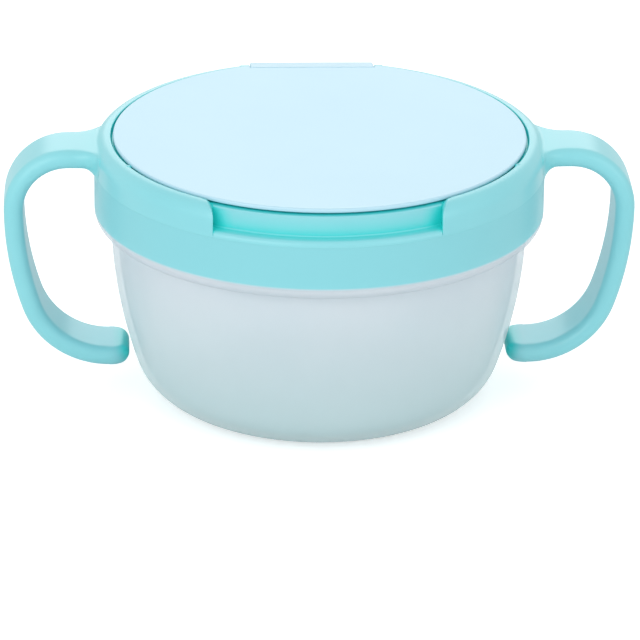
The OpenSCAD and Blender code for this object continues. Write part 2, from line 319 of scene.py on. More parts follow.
def inset(outline, distance):
    """A closed plan outline, counterclockwise, moved inwards by a distance."""
    moved = []
    for i, corner in enumerate(outline):
        before = Vector(outline[i - 1])
        after = Vector(outline[(i + 1) % len(outline)])
        here = Vector(corner)
        first = (here - before).normalized()
        second = (after - here).normalized()
        mitre = Vector((-first.y - second.y, first.x + second.x)) / (1 + first.dot(second))
        moved.append(tuple(here + mitre * distance))
    return moved


def plate(outline, low, high, edge, steps=4, turn=None):
    """A plate with rounded edges over a plan outline, turned by a matrix if one is given."""
    turns = [math.pi / 2 * i / steps for i in range(steps + 1)]
    levels = [(edge * (1 - math.sin(a)), low + edge * (1 - math.cos(a))) for a in turns]
    levels += [(edge * (1 - math.cos(a)), high - edge * (1 - math.sin(a))) for a in turns]
    points, faces = loft([[(x, y, height) for x, y in inset(outline, distance)]
                          for distance, height in levels])
    if turn is not None:
        points = [tuple(turn @ Vector(p)) for p in points]
    return points, faces


# Turns a plate drawn in the YZ plane so that its thickness runs along X
ALONG_X = Matrix(((0, 0, 1), (1, 0, 0), (0, 1, 0)))


def mirrored(shape):
    """The same shape on the other side of the plane X = 0."""
    points, faces = shape
    return [(-x, y, z) for x, y, z in points], [face[::-1] for face in faces]


def rounded_box_outline(half_u, half_v, corner, steps=6, face_steps=1):
    """A rounded rectangle about the origin, counterclockwise, with points along its long faces."""
    outline = []
    straight = half_v - corner
    for start, u, v in ((0, 1, 1), (90, -1, 1), (180, -1, -1), (270, 1, -1)):
        middle = (u * (half_u - corner), v * straight)
        outline += arc(middle, corner, start, start + 90, steps)
        if start in (90, 270):
            outline += [(u * half_u, v * straight * (1 - 2 * i / face_steps)) for i in range(1, face_steps)]
    return outline


# Materials


def add_node(tree, kind, inputs=None, **settings):
    """Adds a node, sets its properties, and fills its inputs from values or from other sockets."""
    node = tree.nodes.new(kind)
    for key, value in settings.items():
        setattr(node, key, value)
    for key, value in (inputs or {}).items():
        if isinstance(value, bpy.types.NodeSocket):
            tree.links.new(value, node.inputs[key])
        else:
            node.inputs[key].default_value = value
    return node


def ranged(tree, value, start, end, low=0.0, high=1.0):
    """The socket of a number that goes from low to high while a value goes from start to end."""
    inputs = {"Value": value, "From Min": start, "From Max": end, "To Min": low, "To Max": high}
    return add_node(tree, "ShaderNodeMapRange", inputs).outputs["Result"]


def mixed(tree, share, first, second):
    """The socket of a colour that is the first at a share of 0 and the second at 1."""
    return add_node(tree, "ShaderNodeMix", {0: share, 6: first, 7: second}, data_type="RGBA").outputs[2]


def moulded_plastic(name, pale, deep, cloud_mm, grain_mm, grain_depth_mm, rough, rough_spread, shader):
    """A moulded polymer: faint clouds in the melt, fine mould grain and a gloss that varies a little."""
    # Nearly all of a noise texture's values lie between these two
    noise_low = 0.2
    noise_high = 0.8
    material = bpy.data.materials.new(name)
    material.use_nodes = True
    tree = material.node_tree
    tree.nodes.clear()
    place = add_node(tree, "ShaderNodeTexCoord").outputs["Object"]
    clouds = add_node(tree, "ShaderNodeTexNoise",
                      {"Vector": place, "Scale": 1 / (cloud_mm * MM), "Detail": 3.0, "Roughness": 0.5})
    tint = add_node(tree, "ShaderNodeValToRGB", {"Fac": clouds.outputs["Fac"]})
    tint.color_ramp.interpolation = "EASE"
    tint.color_ramp.elements[0].position = noise_low
    tint.color_ramp.elements[0].color = deep
    tint.color_ramp.elements[1].position = noise_high
    tint.color_ramp.elements[1].color = pale
    grain = add_node(tree, "ShaderNodeTexNoise",
                     {"Vector": place, "Scale": 1 / (grain_mm * MM), "Detail": 2.0})
    relief = add_node(tree, "ShaderNodeBump",
                      {"Height": grain.outputs["Fac"], "Strength": 1.0, "Distance": grain_depth_mm * MM})
    gloss = ranged(tree, grain.outputs["Fac"], noise_low, noise_high,
                   rough - rough_spread, rough + rough_spread)
    surface = add_node(tree, "ShaderNodeBsdfPrincipled",
                       {"Base Color": tint.outputs["Color"], "Roughness": gloss,
                        "Normal": relief.outputs["Normal"], **shader})
    add_node(tree, "ShaderNodeOutputMaterial", {"Surface": surface.outputs["BSDF"]})
    return material


def surface_and_tint(tree):
    """A moulded plastic's shader, and the socket that gives the shader its colour."""
    surface = next(node for node in tree.nodes if node.type == "BSDF_PRINCIPLED")
    return surface, surface.inputs["Base Color"].links[0].from_socket


def frosted_polypropylene(finish, skirt_bottom):
    """Natural polypropylene, moulded matt: a milky film that lets part of the light through, with painted
    shade that darkens it towards the foot.

    From the skirt's lower edge up, the rim wall is shown as dense and aqua, because there the aqua
    skirt lies against its inside.
    """
    material = moulded_plastic("frosted_moulded_polypropylene", finish.bowl, finish.bowl_thick,
                               cloud_mm=26, grain_mm=0.7, grain_depth_mm=0.006,
                               rough=0.38, rough_spread=0.04, shader={"IOR": 1.49})
    film_cover = 0.55
    band_cover = 0.94
    fade_below = 0.5 * MM
    fade_above = 0.2 * MM
    tree = material.node_tree
    surface, melt = surface_and_tint(tree)
    place = next(node for node in tree.nodes if node.type == "TEX_COORD").outputs["Object"]
    height = add_node(tree, "ShaderNodeSeparateXYZ", {"Vector": place}).outputs["Z"]
    in_band = ranged(tree, height, skirt_bottom - fade_below, skirt_bottom + fade_above)
    # Painted shade: from the skirt's lower edge down to the foot, the milky tone turns darker and more cyan
    milk = mixed(tree, ranged(tree, height, 0.0, skirt_bottom), finish.bowl_foot_shade, melt)
    tree.links.new(mixed(tree, in_band, milk, finish.band), surface.inputs["Base Color"])
    tree.links.new(ranged(tree, in_band, 0.0, 1.0, film_cover, band_cover), surface.inputs["Alpha"])
    return material


def aqua_polypropylene(finish):
    """Coloured polypropylene from a polished tool: soft wide highlights, and painted shade that
    turns its corners and hollows deep teal."""
    material = moulded_plastic("aqua_moulded_polypropylene", finish.ring, finish.ring_deep,
                               cloud_mm=34, grain_mm=1.1, grain_depth_mm=0.002,
                               rough=0.3, rough_spread=0.004, shader={"IOR": 1.49})
    # Painted shade: within this reach, the more closed in a place is, the more its aqua turns to the deep
    # teal, fully at this openness
    corner_reach = 5 * MM
    corner_openness = 0.42
    tree = material.node_tree
    surface, melt = surface_and_tint(tree)
    around = add_node(tree, "ShaderNodeAmbientOcclusion", {"Distance": corner_reach}, samples=6)
    openness = ranged(tree, around.outputs["AO"], corner_openness, 1.0)
    tree.links.new(mixed(tree, openness, finish.ring_corner_shade, melt), surface.inputs["Base Color"])
    return material


def pale_polypropylene(finish):
    """Pale polypropylene of a thin satin moulding, which shows no sharp reflection."""
    return moulded_plastic("pale_moulded_polypropylene", finish.lid, finish.lid_deep,
                           cloud_mm=40, grain_mm=0.6, grain_depth_mm=0.004, rough=0.4, rough_spread=0.03,
                           shader={"IOR": 1.49})


def soft_elastomer(finish):
    """Thermoplastic elastomer, moulded matt: rubbery and without highlights."""
    return moulded_plastic("moulded_thermoplastic_elastomer", finish.insert, finish.insert_deep,
                           cloud_mm=12, grain_mm=0.5, grain_depth_mm=0.012, rough=0.62, rough_spread=0.05,
                           shader={"IOR": 1.5, "Subsurface Weight": 0.3, "Subsurface Scale": 3 * MM,
                                   "Subsurface Radius": (1.0, 1.0, 1.0)})


def turned_acetal(finish):
    """A pin cut from natural acetal rod: white, slightly waxy, with fine turning marks."""
    return moulded_plastic("turned_acetal", finish.pin, finish.pin_deep,
                           cloud_mm=3, grain_mm=0.3, grain_depth_mm=0.01, rough=0.35, rough_spread=0.05,
                           shader={"IOR": 1.48})


def finish_piece(piece, material, slot, body, *nodes):
    """Gives a piece its material and its body, and hides the CAD nodes that it stands for. The slot is not
    used.
    """
    piece.data.materials.clear()
    piece.data.materials.append(material)
    if body:
        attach(piece, body)
    if nodes:
        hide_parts(*nodes)


# The bowl


def bowl_profile(s):
    """The bowl's section, from the middle of its underside round the rim to the middle of its floor."""
    draft = math.degrees(s.low_draft)
    corner = (s.base_radius, s.corner_round)

    # The side is one arc that goes on from the corner round without a kink, up to the rim wall's step
    outwards = Vector((math.cos(s.low_draft), -math.sin(s.low_draft)))
    low = Vector(corner) + s.corner_round * outwards
    run = Vector((s.body_radius, s.shoulder_height)) - low
    side = run.length_squared / (-2 * run.dot(outwards))
    middle = low - side * outwards
    top_angle = math.degrees(math.asin((s.shoulder_height - middle.y) / side))
    floor_top = s.shoulder_height + s.wall
    inner_side = side - s.wall
    inner_angle = math.degrees(math.asin((floor_top - middle.y) / inner_side))
    inner = s.rim_radius - s.rim_wall

    # The mark of the mould's gate is a low button, and the hollow slopes down to the foot ring. The
    # slope's points are shares of the hollow's depth, inwards from the ring and up.
    gate_radius = 2.2 * MM
    gate_top = 1.76 * MM
    gate_height = 0.15 * MM
    hollow = s.base_radius - s.foot_width
    slope = [(hollow - inwards * s.foot_hollow, up * s.foot_hollow)
             for inwards, up in ((2, 1), (0.6, 0.15), (0, 0))]
    return (
        [(0, gate_height), (gate_top, gate_height), (gate_radius, s.foot_hollow)]
        + slope
        + arc(corner, s.corner_round, -90, -draft, 18)
        + arc(middle, side, -draft, top_angle, 16)[1:]
        + arc((s.rim_radius - s.shoulder_round, s.shoulder_height + s.shoulder_round),
              s.shoulder_round, -90, 0, 10)
        + arc((s.rim_radius - SEAM_ROUND, s.rim_height - SEAM_ROUND), SEAM_ROUND, 0, 90, 4)
        + arc((inner + SEAM_ROUND, s.rim_height - SEAM_ROUND), SEAM_ROUND, 90, 180, 4)
        + arc((inner - s.wall, floor_top + s.wall), s.wall, 0, -90, 6)
        + arc(middle, inner_side, inner_angle, -draft, 16)
        + arc(corner, s.corner_round - s.wall, -draft, -90, 18)[1:]
        + [(0, s.wall)]
    )


# The collar


def collar_section(s):
    """The collar's section as named runs of (radius, height) points.

    Foot is the outer face up to the notch's floor, rim the rest of that face with the top and the
    bore, and inside the ledge, the walls and the skirt. Notch and slot are the floors of the two cuts.
    """
    r = s.inner_round
    front_round = 1.2 * MM
    return {
        "foot": (
            arc((s.radius - SEAM_ROUND, s.bottom + SEAM_ROUND), SEAM_ROUND, -90, 0, 2)
            + [(s.radius, s.notch_floor - front_round)]
        ),
        "rim": (
            [(s.radius, s.slot_floor)]
            + arc((s.radius - s.top_round, s.top - s.top_round), s.top_round, 0, 90, 10)
            + arc((s.bore + r, s.top - r), r, 90, 180, 3)
            + [(s.bore, s.ledge + r), (s.bore - r, s.ledge)]
        ),
        "inside": (
            [(s.inner_wall - r, s.ledge)]
            + arc((s.inner_face + r, s.ledge - r), r, 90, 180, 3)
            + [(s.inner_face, s.lip_top)]
            + arc((s.lip_radius + r, s.lip_top - r), r, 90, 180, 3)
            + arc((s.lip_radius + r, s.lip_bottom + r), r, 180, 270, 3)
            + [(s.inner_wall, s.lip_bottom), (s.inner_wall, s.bottom), (s.skirt_inner, s.bottom)]
            + arc((s.skirt_inner + r, s.skirt_bottom + r), r, 180, 270, 3)
            + arc((s.skirt_outer - r, s.skirt_bottom + r), r, 270, 360, 3)
            + [(s.skirt_outer, s.bottom)]
        ),
        "notch": (
            arc((s.radius - front_round, s.notch_floor - front_round), front_round, 0, 90, 4)[1:]
            + [(s.notch_wall + r, s.notch_floor), (s.notch_wall, s.notch_floor + r)]
            + [(s.notch_wall, s.ledge - r), (s.notch_wall - r, s.ledge)]
        ),
        "slot": [(s.inner_wall, s.slot_floor)],
    }


def collar_columns(s):
    """The directions in which the section is drawn, as (turn, kind of the stretch that follows)."""
    notch = math.asin(s.notch_width / 2 / s.radius)
    slot = math.asin(s.slot_width / 2 / s.radius)

    # Next to the cuts the directions lie closer together, to follow the round edges
    fine = [across * MM / s.radius for across in (0.12, 0.3, 0.5, 0.9, 1.4, 1.9)]
    marks = [(FRONT + notch, "full")] + [(FRONT + notch + f, "full") for f in fine]
    marks += [(BACK - slot - f, "full") for f in reversed(fine[:3])] + [(BACK - slot, "slot")]
    marks += [(BACK + slot, "full")] + [(BACK + slot + f, "full") for f in fine[:3]]
    marks += [(FRONT - notch - f + 2 * math.pi, "full") for f in reversed(fine)]
    marks += [(FRONT - notch + 2 * math.pi, "notch")]
    step = math.radians(1.5)
    columns = []
    for i, (turn, kind) in enumerate(marks):
        after = marks[(i + 1) % len(marks)][0]
        if after <= turn:
            after += 2 * math.pi
        count = max(1, round((after - turn) / step))
        columns += [(turn + (after - turn) * k / count, kind) for k in range(count)]
    return columns


def wrapped(turn):
    """The same direction between -pi and pi."""
    return (turn + math.pi) % (2 * math.pi) - math.pi


def past_cut(s, turn, middle, width):
    """How far outside the nearer side of a cut a column stands: below 0 inside it, large when far off."""
    on_side = 1e-7
    away = abs(wrapped(turn) - middle)
    if away > math.pi / 2:
        return s.radius
    past = s.radius * math.sin(away) - width / 2
    return 0.0 if abs(past) < on_side else past


def column_turn(s, turn, radius):
    """A column's direction at a radius: near a cut the whole column lies parallel to the cut's side."""
    far = math.radians(10)
    fade = math.radians(6)
    here = wrapped(turn)
    for middle, width in ((FRONT, s.notch_width), (BACK, s.slot_width)):
        away = abs(abs(here - middle) - math.asin(width / 2 / s.radius))
        if away < far:
            share = min(1.0, (far - away) / fade)
            parallel = middle + math.asin(s.radius * math.sin(here - middle) / radius)
            return turn + share * (parallel - here)
    return turn


def column_rim(s, rim, shrink, limit):
    """The rim's points in one column, drawn in beside a cut and cut off at a limit of height."""
    centre = (s.radius + s.bore) / 2
    share = 1 - shrink / (s.radius - centre)
    over_notch_wall = s.notch_wall + s.inner_round / 3
    moved = []
    for i, (radius, height) in enumerate(rim):
        radius = centre + (radius - centre) * share
        if i < len(rim) - 2:
            height = min(height, limit - shrink)

        # Nothing over that wall sinks below the ledge, or the flat side of the cut would cross itself
        if radius < over_notch_wall:
            height = max(height, s.ledge)
        moved.append((radius, height))
    return moved


def column_loop(column, kind):
    """The closed row of points in one column, for a kind of stretch."""
    if kind == "notch":
        return column["foot"] + column["notch"] + column["rim"][-1:] + column["inside"]
    if kind == "slot":
        return column["foot"] + column["rim"][:1] + column["slot"] + column["inside"]
    return column["foot"] + column["rim"] + column["inside"]


def cut_side(column, cut):
    """The points round the flat side of a cut."""
    if cut == "notch":
        return column["foot"][-1:] + column["rim"] + column["notch"][::-1]
    return column["rim"] + column["inside"][:1] + column["slot"]


def collar_shape(s):
    """The collar: one section turned about +Z, cut by the thumb notch and the hinge slot."""
    cut_round = 0.5 * MM
    section = collar_section(s)
    columns = collar_columns(s)
    points = []
    rows = []
    for turn, kind in columns:
        past_notch = past_cut(s, turn, FRONT, s.notch_width)
        past_slot = past_cut(s, turn, BACK, s.slot_width)
        shrink = fillet_rise(cut_round - min(abs(past_notch), abs(past_slot)), cut_round)
        limit = s.top - fillet_rise(s.notch_round - past_notch, s.notch_round)
        row = {}
        for name, run in section.items():
            if name == "rim":
                run = column_rim(s, run, shrink, limit)
            row[name] = [len(points) + i for i in range(len(run))]
            for radius, height in run:
                a = column_turn(s, turn, radius)
                points.append((radius * math.cos(a), radius * math.sin(a), height))
        rows.append(row)
    faces = []
    for i, (turn, kind) in enumerate(columns):
        here = column_loop(rows[i], kind)
        after = column_loop(rows[(i + 1) % len(rows)], kind)
        for k in range(len(here)):
            m = (k + 1) % len(here)
            faces.append([here[k], after[k], after[m], here[m]])
        before = columns[i - 1][1]
        if kind != before:
            faces.append(cut_side(rows[i], before if kind == "full" else kind))

    # Points that no face uses, such as the rim's inside the notch, are left out
    used = sorted({v for face in faces for v in face})
    order = {v: i for i, v in enumerate(used)}
    return [points[v] for v in used], [[order[v] for v in face] for face in faces]


# The handles and the small forms of the ring


def bar_outline(s, thick, wide, corner):
    """A handle's section: a rounded box that is a little thinner towards its long edges."""
    shape = rounded_box_outline(thick, wide, corner, face_steps=14)
    return [(u * (1 - s.crown / (s.thickness / 2) * (v / wide) ** 2), v) for u, v in shape]


def root_width(s, ring, radius, flare):
    """Half the width of a root with a round of its own, on a cylinder about the collar's axis."""
    half_wide = s.width / 2
    flare_away = ring.radius + flare
    flare_turn = math.asin((half_wide + flare) / flare_away)
    if radius <= ring.radius:
        return radius * math.sin(flare_turn)
    if radius > flare_away * math.cos(flare_turn):
        return half_wide
    turn = (radius ** 2 + flare_away ** 2 - flare ** 2) / (2 * radius * flare_away)
    return max(half_wide, radius * math.sin(flare_turn - math.acos(min(1.0, turn))))


def root_top(ring, height, fillet, radius):
    """Height of a handle's top face near the collar, where a fillet leads it on to the round edge."""
    middle = ring.radius - ring.top_round
    base = ring.top - ring.top_round
    reach = ring.top_round + fillet
    start = middle + math.sqrt(reach ** 2 - max(0.0, height - base + fillet) ** 2)
    touch = middle + (start - middle) * ring.top_round / reach
    if radius < touch:
        return base + math.sqrt(ring.top_round ** 2 - max(0.0, radius - middle) ** 2) - LAP
    return height + fillet_rise(start - radius, fillet)


def root_sections(s, ring):
    """Sections of a handle's arm, from inside the collar to the top bend."""
    half_thick = s.thickness / 2
    half_wide = s.width / 2
    outside = ring.radius + LAP
    reach = s.limb_distance - s.top_bend - outside

    # Even steps inside the collar, then steps that widen away from it
    hidden_steps = 9
    hidden_step = 0.3 * MM
    seen_steps = 16
    widening = 1.6
    radii = [ring.radius - half_thick + hidden_step * i for i in range(hidden_steps)]
    radii += [ring.radius - LAP / 3]
    radii += [outside + reach * (i / seen_steps) ** widening for i in range(seen_steps)]
    sections = []
    for radius in radii:
        # At the collar a section bends round it, and it straightens out on the way to the top bend
        bent = 1 - ease((radius - outside) / reach)
        wide = root_width(s, ring, radius, s.root_top_round)
        low_share = root_width(s, ring, radius, s.root_low_round) / wide
        section = []
        for u, v in bar_outline(s, half_thick, wide, s.edge_round):
            # The flare is narrower below, and its top dips towards its sides
            over = max(0.0, abs(v) - half_wide) / s.root_top_round
            v *= 1 + (low_share - 1) * (0.5 - u / s.thickness)
            x = radius - bent * (radius - math.sqrt(radius ** 2 - v ** 2))
            away = math.hypot(x, v)
            rise = 0.0
            if u > 0:
                flat = s.arm_height + half_thick
                rise = root_top(ring, flat - s.flare_dip * over ** 2, s.root_top_fillet, away) - flat
            elif away > ring.radius:
                rise = fillet_rise(outside + s.root_fillet - away, s.root_fillet)
            section.append((x, v, s.arm_height + u + u / half_thick * rise))
        sections.append(section)
    return sections


def bend_line(middle, radius, start, end, steps):
    """Points of a bend without its last one, as (x, z, heading). Its angles are in radians."""
    turns = [start + (end - start) * i / steps for i in range(steps)]
    return [(middle[0] + radius * math.cos(a), middle[1] + radius * math.sin(a), a - math.pi / 2)
            for a in turns]


def handle_line(s):
    """The handle's middle line past its arm, as (x, z, heading)."""
    bend = s.arm_height - s.top_bend
    side = (s.limb_distance - s.side_bend, bend)
    gap = s.side_bend - s.low_bend
    low = (side[0] + gap * math.cos(s.side_sweep), side[1] - gap * math.sin(s.side_sweep))
    return (bend_line((s.limb_distance - s.top_bend, bend), s.top_bend, math.pi / 2, 0, 16)
            + bend_line(side, s.side_bend, 0, -s.side_sweep, 14)
            + bend_line(low, s.low_bend, -s.side_sweep, -math.pi / 2, 18)
            + [(low[0], low[1] - s.low_bend, math.pi)])


def nose_sections(s, floor):
    """Sections of a handle's nose at a height, round in plan and in thickness."""
    half_thick = s.thickness / 2
    tip = s.nose_distance - half_thick
    most_round = 0.85
    steps = 14
    sections = []
    for i in range(steps):
        # The last section stands half a step before the tip, where the nose would have no area
        a = math.pi / 2 * i / (steps - 0.5)
        from_tip = s.nose_round * (1 - math.sin(a))
        wide = s.width / 2 - s.nose_round * (1 - math.cos(a))
        thick = half_thick
        if from_tip < half_thick:
            thick = math.sqrt(half_thick ** 2 - (half_thick - from_tip) ** 2)
        corner = min(s.edge_round, thick * most_round)
        sections.append([(tip + from_tip, v, floor - u) for u, v in bar_outline(s, thick, wide, corner)])
    return sections


def handle_shape(s, ring):
    """The right handle: a flat rounded bar that flares where it leaves the collar."""
    bar = bar_outline(s, s.thickness / 2, s.width / 2, s.edge_round)
    line = handle_line(s)
    bends = [[(x - math.sin(heading) * u, v, z + math.cos(heading) * u) for u, v in bar]
             for x, z, heading in line]
    return loft(root_sections(s, ring) + bends + nose_sections(s, line[-1][1]))


def nub_shape(ring, lid):
    """The right snap nub on the collar's bore, a ball that stands three quarters of its radius proud."""
    radius = 0.9 * MM
    turn = math.radians(-24)
    points, faces = revolved([(max(r, 0.0), z) for r, z in arc((0, 0), radius, -90, 90, 10)], 16)
    reach = ring.bore + radius / 4
    move = Vector((reach * math.cos(turn), reach * math.sin(turn), lid.top - lid.thickness))
    return [tuple(Vector(p) + move) for p in points], faces


def ear_shape(ring, lid):
    """The right ear that holds the hinge pin, a block with a round top and a sloping outer foot."""
    foot = ring.bottom + 0.4 * MM
    slope = 1.6 * MM
    edge_round = 0.45 * MM
    inner = lid.axis_distance - lid.ear_radius
    outer = lid.axis_distance + lid.ear_radius
    outline = [(inner, foot), (outer - slope, foot), (outer, foot + slope)]
    outline += arc((lid.axis_distance, lid.axis_height), lid.ear_radius, 0, 180, 16)
    start = ring.slot_width / 2 - LAP
    return plate(outline, start, start + lid.ear_width, edge_round, turn=ALONG_X)


# The lid


def lid_disc_outline(s):
    """The disc's outline in plan, with the straight back edge that the tab starts from."""
    half = s.tab_width / 2
    start = math.degrees(math.acos(half / s.radius))
    outline = arc((0, 0), s.radius, 180 - start, 360 + start, 220)
    return outline + [(half, s.tab_start), (-half, s.tab_start)]


def lid_plug_shape(s):
    """The ring-shaped wall under the disc that plugs the opening."""
    wall = 1.2 * MM
    r = 0.3 * MM
    under = s.top - s.thickness
    low = under - s.plug_depth + r
    inner = s.plug_radius - wall
    return revolved([(inner, under + r)] + arc((inner + r, low), r, 180, 270, 3)
                    + arc((s.plug_radius - r, low), r, 270, 360, 3) + [(s.plug_radius, under + r)],
                    closed=True)


def lid_tab_outline(s):
    """The tab's side view: a sloping strip that ends in the hinge barrel."""
    axis = Vector((s.axis_distance, s.axis_height))
    top = Vector((s.tab_start, s.top))
    run = top - axis
    touch = math.atan2(run.y, run.x) - math.acos(s.barrel / run.length)
    normal = Vector((math.cos(touch), math.sin(touch)))
    leave = math.degrees(touch)
    join = leave + math.degrees(math.acos((s.barrel - s.thickness) / s.barrel)) - 360
    return [tuple(top), tuple(top - normal * s.thickness)] + arc(axis, s.barrel, join, leave, 30)


# The soft insert


def insert_rim_shape(s):
    """The insert's rim: round outside, with a straight-sided opening and a shallow groove on top."""
    columns = 192
    r = 0.35 * MM
    top = s.bottom + s.height
    flat = 2 * math.pi / FLAPS

    # The groove's middle and floor, with half its widths below and on top
    middle = s.radius - 2.2 * MM
    groove = top - 0.35 * MM
    half_floor = 0.3 * MM
    half_mouth = 0.5 * MM
    sections = []
    for i in range(columns):
        a = 2 * math.pi * i / columns
        off = (a + flat / 2) % flat - flat / 2
        inner = s.opening / math.cos(off)
        outline = (
            arc((inner + r, s.bottom + r), r, 270, 180, 3)
            + arc((inner + r, top - r), r, 180, 90, 3)
            + [(middle - half_mouth, top), (middle - half_floor, groove)]
            + [(middle + half_floor, groove), (middle + half_mouth, top)]
            + arc((s.radius - r, top - r), r, 90, 0, 3)
            + arc((s.radius - r, s.bottom + r), r, 0, -90, 3)
        )
        sections.append([(away * math.cos(a), away * math.sin(a), z) for away, z in outline])
    return loft(sections, closed=True)


def flap_shape(s, turn):
    """A flap from inside the rim to its tip, thinned to a groove where it bends."""
    half_turn = math.pi / FLAPS
    middle = s.bottom + s.height / 2
    root = s.opening + 0.5 * MM
    bend = s.opening - s.bend_inset
    edge_round = 0.4 * MM

    # The groove takes a share of the thickness and fades out over this width on each side
    groove_share = 0.32
    groove_width = 0.8 * MM

    # The edge round never takes more than this share of half the thickness or half the width
    most_round = 0.8

    # Close sections across the groove, and wider steps from there to the tip
    close_count = 12
    close_step = 0.35 * MM
    wide_count = 24
    stations = [root - close_step * i for i in range(close_count)]
    last = stations[-1]
    stations += [last + (s.hole - last) * i / wide_count for i in range(1, wide_count + 1)]
    sections = []
    for x in stations:
        wide = x * math.tan(half_turn) - s.slit / 2 / math.cos(half_turn)
        thin = groove_share * math.exp(-((x - bend) / groove_width) ** 2)
        thick = s.flap_thickness / 2 * (1 - thin)
        corner = min(edge_round, thick * most_round, wide * most_round)
        sections.append([
            (x * math.cos(turn) - v * math.sin(turn), x * math.sin(turn) + v * math.cos(turn), middle + u)
            for u, v in rounded_box_outline(thick, wide, corner, 3)])
    return loft(sections)


# The studio


def studio_floor(view):
    """A white paper floor that keeps the object's soft shadow and reads as white to the camera."""
    camera_glow = 0.45
    below_foot = 0.02 * MM
    half = view.floor_size / 2
    mesh = bpy.data.meshes.new("studio_floor")
    mesh.from_pydata([(-half, -half, 0), (half, -half, 0), (half, half, 0), (-half, half, 0)], [],
                     [(0, 1, 2, 3)])
    floor = bpy.data.objects.new("studio_floor", mesh)
    bpy.context.scene.collection.objects.link(floor)
    floor.location.z = -below_foot
    paper = bpy.data.materials.new("white_studio_paper")
    paper.use_nodes = True
    tree = paper.node_tree
    tree.nodes.clear()
    matt = add_node(tree, "ShaderNodeBsdfDiffuse", {"Color": linear("#F4F4F4")})
    path = add_node(tree, "ShaderNodeLightPath")
    lift = add_node(tree, "ShaderNodeMath", {0: path.outputs["Is Camera Ray"], 1: camera_glow},
                    operation="MULTIPLY")
    glow = add_node(tree, "ShaderNodeEmission", {"Strength": lift.outputs[0]})
    both = add_node(tree, "ShaderNodeAddShader", {0: matt.outputs["BSDF"], 1: glow.outputs["Emission"]})
    add_node(tree, "ShaderNodeOutputMaterial", {"Surface": both.outputs["Shader"]})
    mesh.materials.append(paper)
    return floor


def studio_air(view):
    """A world of even light, plain white to the camera and to glossy and transmitted rays."""
    world = bpy.data.worlds.new("white_studio")
    world.use_nodes = True
    bpy.context.scene.world = world
    tree = world.node_tree
    tree.nodes.clear()
    air = add_node(tree, "ShaderNodeBackground", {"Color": (1, 1, 1, 1), "Strength": view.air})
    path = add_node(tree, "ShaderNodeLightPath").outputs
    seen = path["Is Camera Ray"]
    for kind in ("Is Glossy Ray", "Is Transmission Ray"):
        seen = add_node(tree, "ShaderNodeMath", {0: seen, 1: path[kind]}, operation="MAXIMUM").outputs[0]
    white = add_node(tree, "ShaderNodeBackground", {"Color": (1, 1, 1, 1), "Strength": 1.0})
    both = add_node(tree, "ShaderNodeMixShader", {0: seen, 1: air.outputs[0], 2: white.outputs[0]})
    add_node(tree, "ShaderNodeOutputWorld", {"Surface": both.outputs[0]})


def soft_light(name, place, aim, size, watts):
    """A square soft box that faces a point."""
    data = bpy.data.lights.new(name, "AREA")
    data.size = size
    data.energy = watts
    lamp = bpy.data.objects.new(name, data)
    bpy.context.scene.collection.objects.link(lamp)
    lamp.location = place
    lamp.rotation_mode = "QUATERNION"
    lamp.rotation_quaternion = (Vector(aim) - Vector(place)).to_track_quat("-Z", "Y")


def studio_camera(view, aim):
    """A long lens that looks at a point from the front and a little above."""
    camera = bpy.data.objects.new("camera", bpy.data.cameras.new("camera"))
    bpy.context.scene.collection.objects.link(camera)
    back = Vector((math.sin(view.azimuth) * math.cos(view.elevation),
                   -math.cos(view.azimuth) * math.cos(view.elevation), math.sin(view.elevation)))
    camera.location = Vector(aim) + back * view.distance
    look = (-back).to_track_quat("-Z", "Y").to_matrix() @ Matrix.Rotation(view.roll, 3, "Z")
    camera.rotation_mode = "QUATERNION"
    camera.rotation_quaternion = look.to_quaternion()
    camera.data.lens = view.lens
    camera.data.sensor_width = 36

    # The shifts put the object where it stands in the photograph
    camera.data.shift_x = 0.0026
    camera.data.shift_y = -0.0974
    camera.data.clip_end = 20
    bpy.context.scene.camera = camera


# Operators


class SNACK_OT_stage(bpy.types.Operator):
    """Build the floor, the lights, the world and the camera."""
    bl_idname = "snack.stage"
    bl_label = "Stage"

    def execute(self, context):
        """A white floor that keeps a soft shadow, three soft boxes and a long lens."""
        scene = context.scene
        view = scene.snack_view
        aim = (0, 0, view.aim_height)
        scene.view_settings.view_transform = "Standard"
        studio_floor(view)
        studio_air(view)
        soft_light("key_light", (-0.75, -1.0, 0.6), aim, size=1.0, watts=view.key_power)
        soft_light("fill_light", (0.9, -0.8, 0.45), aim, size=0.8, watts=view.fill_power)
        soft_light("back_light", (0.05, 1.1, 0.6), aim, size=0.9, watts=view.back_power)
        studio_camera(view, aim)
        return {"FINISHED"}


class SNACK_OT_bowl(bpy.types.Operator):
    """Build the frosted bowl."""
    bl_idname = "snack.bowl"
    bl_label = "Bowl"

    def execute(self, context):
        """Turns the bowl's section about the vertical axis."""
        scene = context.scene
        piece = make_piece("frosted_bowl", [revolved(bowl_profile(scene.snack_bowl), 256)])
        material = frosted_polypropylene(scene.snack_finish, scene.snack_ring.skirt_bottom)
        finish_piece(piece, material, "frosted_plastic", "bowl_body", "bowl")
        return {"FINISHED"}


class SNACK_OT_handle_ring(bpy.types.Operator):
    """Build the collar with both handles, the pin's ears and the lid's nubs."""
    bl_idname = "snack.handle_ring"
    bl_label = "Handle ring"

    def execute(self, context):
        """Joins the collar, the handles and the small forms into one moulding."""
        scene = context.scene
        ring = scene.snack_ring
        lid = scene.snack_lid
        handle = handle_shape(scene.snack_handle, ring)
        ear = ear_shape(ring, lid)
        nub = nub_shape(ring, lid)
        shapes = [collar_shape(ring), handle, mirrored(handle), ear, mirrored(ear), nub, mirrored(nub)]
        piece = make_piece("collar_with_handles", shapes)
        finish_piece(piece, aqua_polypropylene(scene.snack_finish), "aqua_plastic", "ring_body",
                     "handle_ring")
        return {"FINISHED"}


